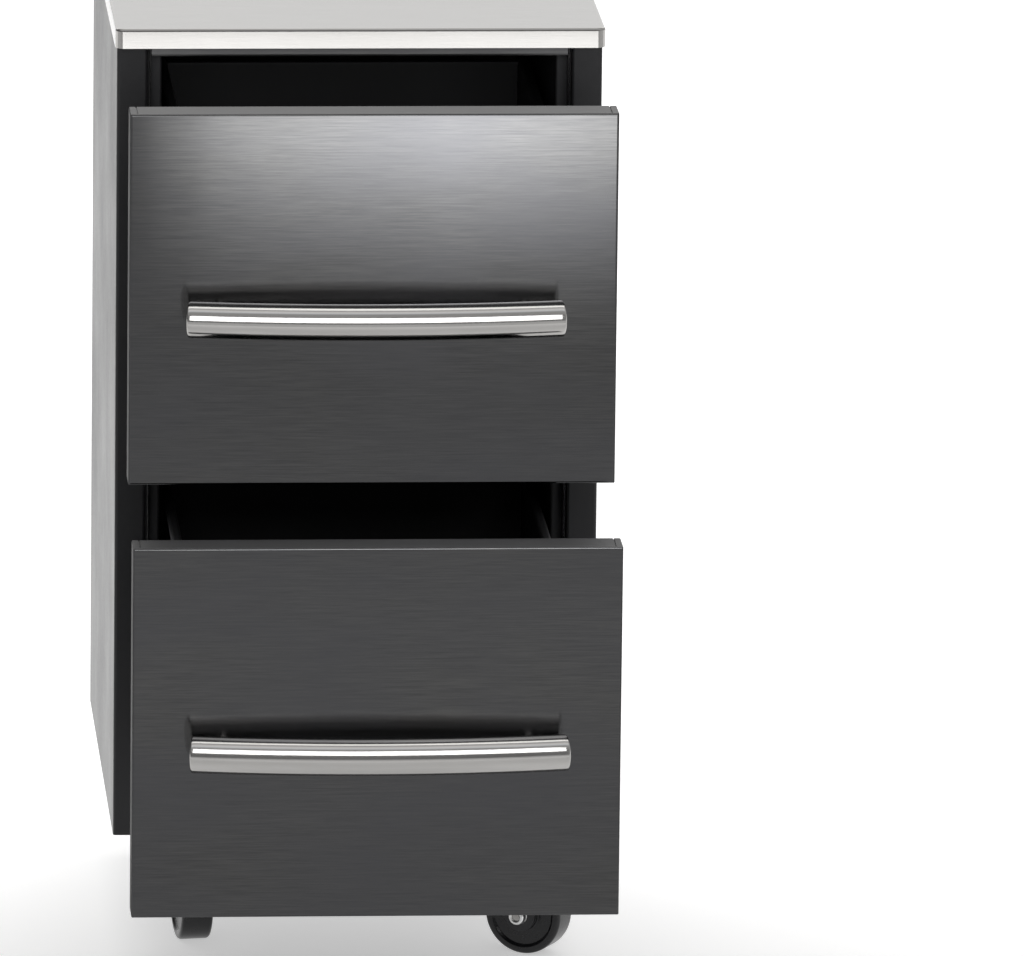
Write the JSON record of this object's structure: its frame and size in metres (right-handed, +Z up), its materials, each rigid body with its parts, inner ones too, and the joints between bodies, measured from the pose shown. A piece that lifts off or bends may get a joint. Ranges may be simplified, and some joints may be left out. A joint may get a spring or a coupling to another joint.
{
  "type": "outdoor kitchen drawer unit",
  "caption": "Free-standing outdoor kitchen cabinet with deep drawers on telescopic runners, bowed tube handles, a stainless top and swivel casters.",
  "frame": {"origin": "on the floor, under the middle of the unit's outline with its drawers pulled out as in the picture", "axes": "+Z up, the drawer fronts face -Y, +X to the right seen from the front"},
  "size_m": [0.4076, 0.8579, 0.8158],
  "materials": {
    "painted_sheet": "dark grey powder coat, satin",
    "black_steel": "black stainless steel, brushed along its width",
    "stainless": "stainless steel, polished and finely brushed",
    "zinc": "bright zinc plate",
    "nylon": "hard black nylon, glossy"
  },
  "bodies": {
    "cabinet": {"side_panel_right": "painted_sheet", "side_panel_left": "painted_sheet", "inner_wall_right": "painted_sheet", "inner_wall_left": "painted_sheet", "floor_pan": "painted_sheet", "back_panel": "painted_sheet", "base_rail_right": "painted_sheet", "base_rail_left": "painted_sheet", "bottom_rail": "black_steel", "middle_rail": "black_steel", "top_rail": "black_steel", "top_sheet": "stainless", "upper_runner_outer_right": "zinc", "upper_runner_outer_left": "zinc", "lower_runner_outer_right": "zinc", "lower_runner_outer_left": "zinc", "caster_front_right_plate": "zinc", "caster_front_left_plate": "zinc", "caster_rear_right_plate": "zinc", "caster_rear_left_plate": "zinc"},
    "upper_drawer": {"upper_front_skin": "black_steel", "upper_front_liner": "painted_sheet", "upper_box_right": "painted_sheet", "upper_box_left": "painted_sheet", "upper_box_floor": "painted_sheet", "upper_box_back": "painted_sheet", "upper_handle_bar": "stainless", "upper_handle_post_right": "stainless", "upper_handle_post_left": "stainless", "upper_runner_inner_right": "zinc", "upper_runner_inner_left": "zinc"},
    "upper_slides": {"upper_runner_middle_right": "zinc", "upper_runner_middle_left": "zinc"},
    "lower_drawer": {"lower_front_skin": "black_steel", "lower_front_liner": "painted_sheet", "lower_box_right": "painted_sheet", "lower_box_left": "painted_sheet", "lower_box_floor": "painted_sheet", "lower_box_back": "painted_sheet", "lower_handle_bar": "stainless", "lower_handle_post_right": "stainless", "lower_handle_post_left": "stainless", "lower_runner_inner_right": "zinc", "lower_runner_inner_left": "zinc"},
    "lower_slides": {"lower_runner_middle_right": "zinc", "lower_runner_middle_left": "zinc"},
    "caster_front_right_swivel": {"caster_front_right_fork": "painted_sheet", "caster_front_right_axle": "zinc"},
    "caster_front_right_roller": {"caster_front_right_wheel": "nylon"},
    "caster_front_left_swivel": {"caster_front_left_fork": "painted_sheet", "caster_front_left_axle": "zinc"},
    "caster_front_left_roller": {"caster_front_left_wheel": "nylon"},
    "caster_rear_right_swivel": {"caster_rear_right_fork": "painted_sheet", "caster_rear_right_axle": "zinc"},
    "caster_rear_right_roller": {"caster_rear_right_wheel": "nylon"},
    "caster_rear_left_swivel": {"caster_rear_left_fork": "painted_sheet", "caster_rear_left_axle": "zinc"},
    "caster_rear_left_roller": {"caster_rear_left_wheel": "nylon"}
  },
  "joints": [
    {"name": "upper_drawer_slide", "type": "slide", "parent": "cabinet", "child": "upper_drawer", "axis": [0, -1, 0], "range_m": [-0.18, 0.2]},
    {"name": "upper_slides_slide", "type": "slide", "parent": "cabinet", "child": "upper_slides", "axis": [0, -1, 0], "range_m": [-0.09, 0.1]},
    {"name": "lower_drawer_slide", "type": "slide", "parent": "cabinet", "child": "lower_drawer", "axis": [0, -1, 0], "range_m": [-0.28, 0.1]},
    {"name": "lower_slides_slide", "type": "slide", "parent": "cabinet", "child": "lower_slides", "axis": [0, -1, 0], "range_m": [-0.14, 0.05]},
    {"name": "caster_front_right_turn", "type": "hinge", "parent": "cabinet", "child": "caster_front_right_swivel", "pos_m": [0.125, 0.04725, 0.09], "axis": [0, 0, 1], "continuous": true},
    {"name": "caster_front_right_roll", "type": "hinge", "parent": "caster_front_right_swivel", "child": "caster_front_right_roller", "pos_m": [0.15474, 0.03077, 0.03478], "axis": [0.4848, 0.8746, 0], "continuous": true},
    {"name": "caster_front_left_turn", "type": "hinge", "parent": "cabinet", "child": "caster_front_left_swivel", "pos_m": [-0.125, 0.04725, 0.09], "axis": [0, 0, 1], "continuous": true},
    {"name": "caster_front_left_roll", "type": "hinge", "parent": "caster_front_left_swivel", "child": "caster_front_left_roller", "pos_m": [-0.12914, 0.081, 0.03478], "axis": [-0.9925, -0.1219, 0], "continuous": true},
    {"name": "caster_rear_right_turn", "type": "hinge", "parent": "cabinet", "child": "caster_rear_right_swivel", "pos_m": [0.125, 0.32725, 0.09], "axis": [0, 0, 1], "continuous": true},
    {"name": "caster_rear_right_roll", "type": "hinge", "parent": "caster_rear_right_swivel", "child": "caster_rear_right_roller", "pos_m": [0.14096, 0.35727, 0.03478], "axis": [-0.8829, 0.4695, 0], "continuous": true},
    {"name": "caster_rear_left_turn", "type": "hinge", "parent": "cabinet", "child": "caster_rear_left_swivel", "pos_m": [-0.125, 0.32725, 0.09], "axis": [0, 0, 1], "continuous": true},
    {"name": "caster_rear_left_roll", "type": "hinge", "parent": "caster_rear_left_swivel", "child": "caster_rear_left_roller", "pos_m": [-0.14096, 0.35727, 0.03478], "axis": [-0.8829, -0.4695, 0], "continuous": true}
  ],
  "couplings": [
    {"joint": "upper_slides_slide", "follows": "upper_drawer_slide", "ratio": 0.5},
    {"joint": "lower_slides_slide", "follows": "lower_drawer_slide", "ratio": 0.5}
  ]
}
